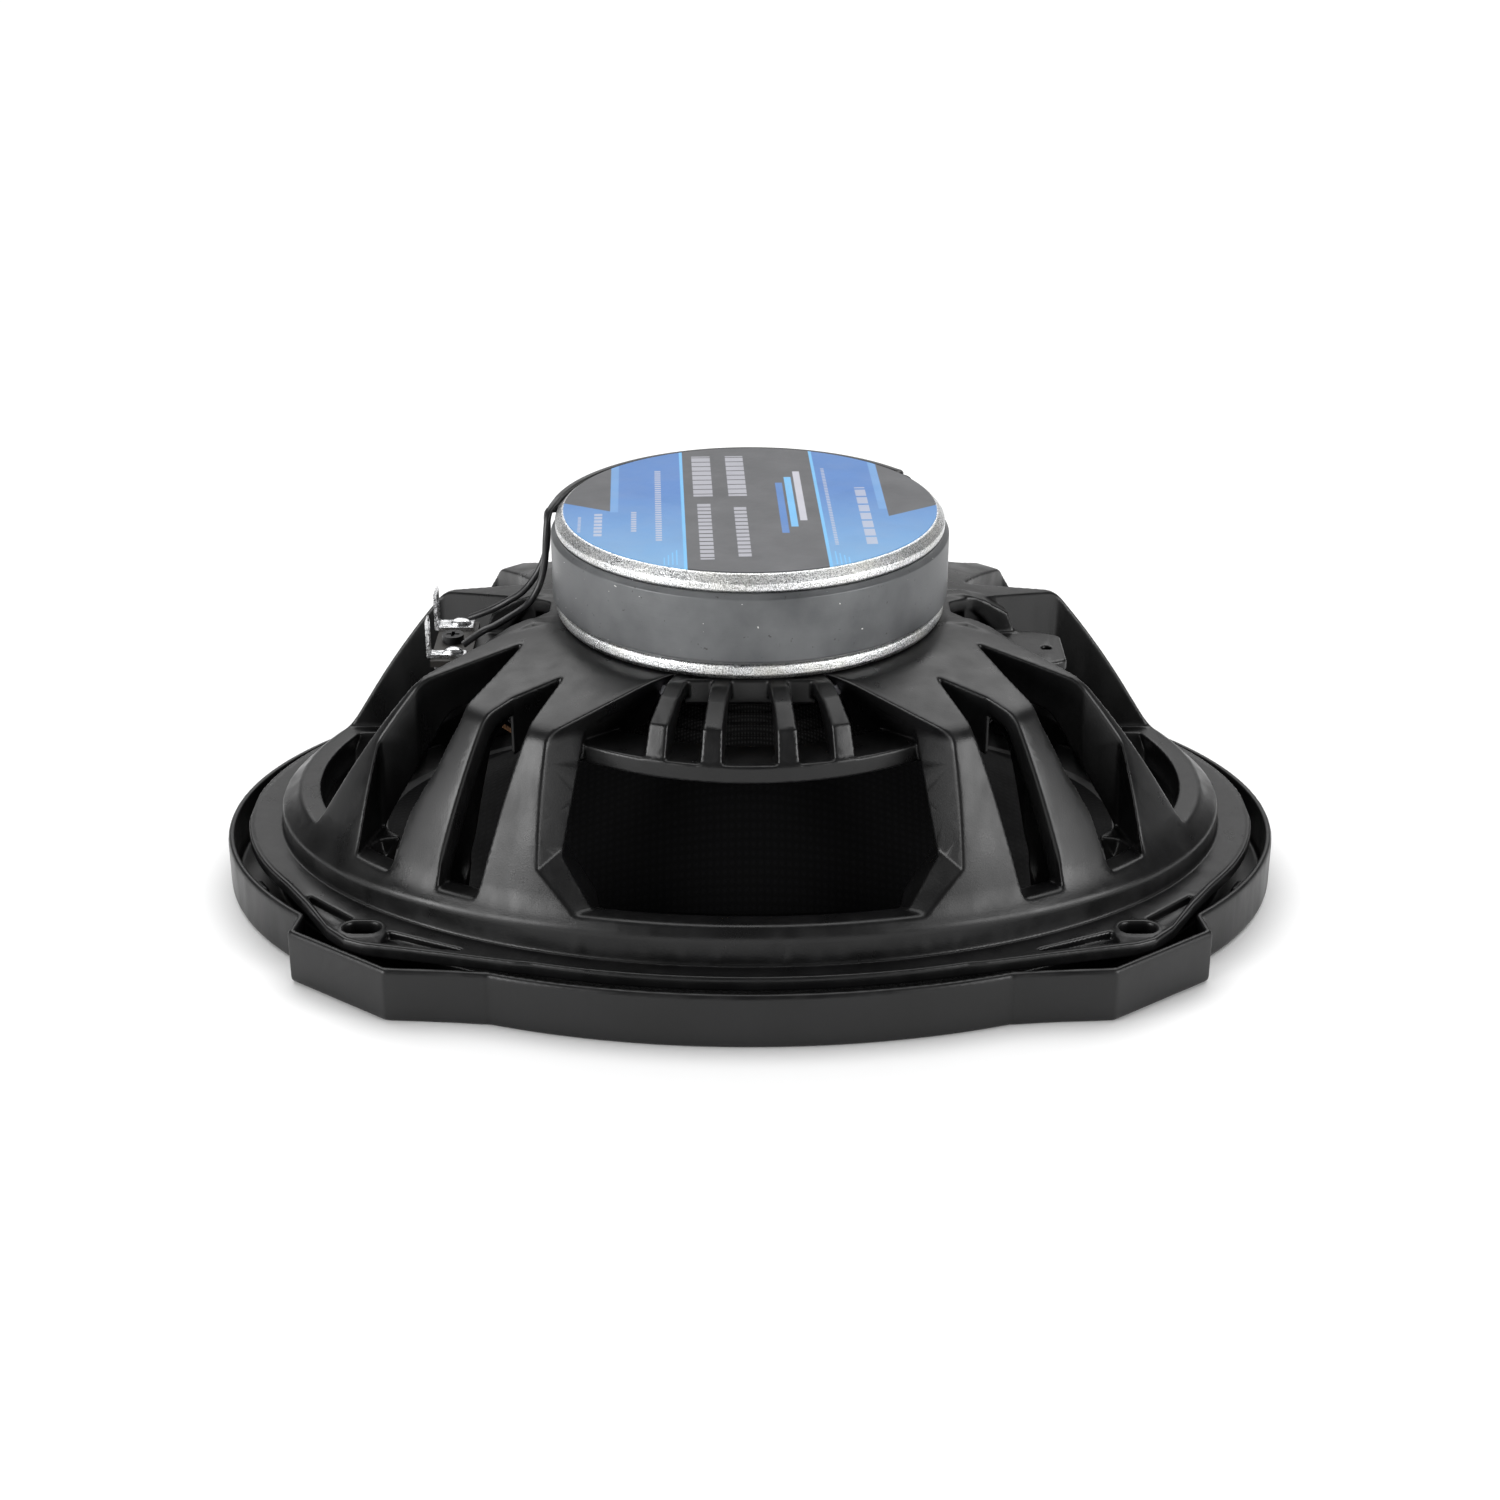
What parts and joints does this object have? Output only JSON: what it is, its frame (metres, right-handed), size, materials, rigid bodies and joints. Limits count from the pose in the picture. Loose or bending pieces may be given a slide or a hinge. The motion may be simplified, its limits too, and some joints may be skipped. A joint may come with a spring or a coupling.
{
  "type": "coaxial car speaker",
  "caption": "Oval coaxial car speaker with a ribbed moulded basket, ring magnet, trim ring with grille, and moving woofer, midrange and tweeter assemblies.",
  "frame": {"origin": "centre of the four mounting slots, in the plane of the flange's rear face, which meets the panel", "axes": "+Z towards the rear (magnet) side, along every cone's travel; +X along the long axis of the oval; the front grille faces -Z and the speaker rests on it"},
  "size_m": [0.2466, 0.1728, 0.09],
  "materials": {
    "trim_plastic": "satin moulded plastic",
    "grille_steel": "black powder coat",
    "badge_metal": "brushed",
    "basket_plastic": "satin, finely textured",
    "gasket_foam": "matt foam",
    "surround_rubber": "soft matt",
    "cone_poly": "woven-look film",
    "spider_cloth": "black phenolic cloth",
    "former": "satin film",
    "copper_wire": "enamelled",
    "zinc_steel": "bright zinc",
    "raw_steel": "rough grey",
    "ferrite": "ground ferrite",
    "label": "gloss printed, blank",
    "bridge_plastic": "satin",
    "small_cone": "coated paper",
    "dome_metal": "satin",
    "board": "pressed board",
    "tin": "tinned",
    "black_steel": "black oxide",
    "wire_sleeve": "satin",
    "tinsel": "braided copper",
    "cap_sleeve": "shrink sleeve"
  },
  "bodies": {
    "chassis": {"grille_frame": "trim_plastic", "grille_mesh": "grille_steel", "grille_badge": "badge_metal", "basket": "basket_plastic", "front_gasket": "gasket_foam", "surround": "surround_rubber", "spider": "spider_cloth", "clamp_plate": "raw_steel", "platform_rivets": "raw_steel", "front_plate": "zinc_steel", "magnet": "ferrite", "back_plate": "zinc_steel", "rear_label": "label", "pole_post": "zinc_steel", "driver_bridge": "bridge_plastic", "midrange_magnet": "ferrite", "midrange_frame": "bridge_plastic", "midrange_surround": "surround_rubber", "tweeter_housing": "bridge_plastic", "tweeter_magnet": "ferrite", "tweeter_ring": "dome_metal", "bridge_screws": "zinc_steel", "terminal_board": "board", "positive_terminal": "tin", "negative_terminal": "tin", "terminal_screw": "black_steel", "solder_joints": "tin", "lead_positive": "wire_sleeve", "lead_negative": "wire_sleeve", "tinsel_leads": "tinsel", "midrange_capacitor": "cap_sleeve", "tweeter_capacitor": "cap_sleeve"},
    "woofer_voice": {"woofer_cone": "cone_poly", "voice_coil_former": "former", "voice_coil_winding": "copper_wire"},
    "midrange_voice": {"midrange_cone": "small_cone", "midrange_dust_cap": "dome_metal"},
    "tweeter_voice": {"tweeter_dome": "dome_metal", "tweeter_coil": "copper_wire"}
  },
  "joints": [
    {"name": "cone_excursion", "type": "slide", "parent": "chassis", "child": "woofer_voice", "axis": [0, 0, 1], "range_m": [-0.005, 0.005], "stiffness_N_per_m": 2500, "deforming": ["surround", "spider", "tinsel_leads"]},
    {"name": "midrange_excursion", "type": "slide", "parent": "chassis", "child": "midrange_voice", "axis": [0, 0, 1], "range_m": [-0.0005, 0.0005], "stiffness_N_per_m": 1500, "deforming": ["midrange_surround"]},
    {"name": "tweeter_excursion", "type": "slide", "parent": "chassis", "child": "tweeter_voice", "axis": [0, 0, 1], "range_m": [-0.0002, 0.0002], "stiffness_N_per_m": 1500}
  ]
}
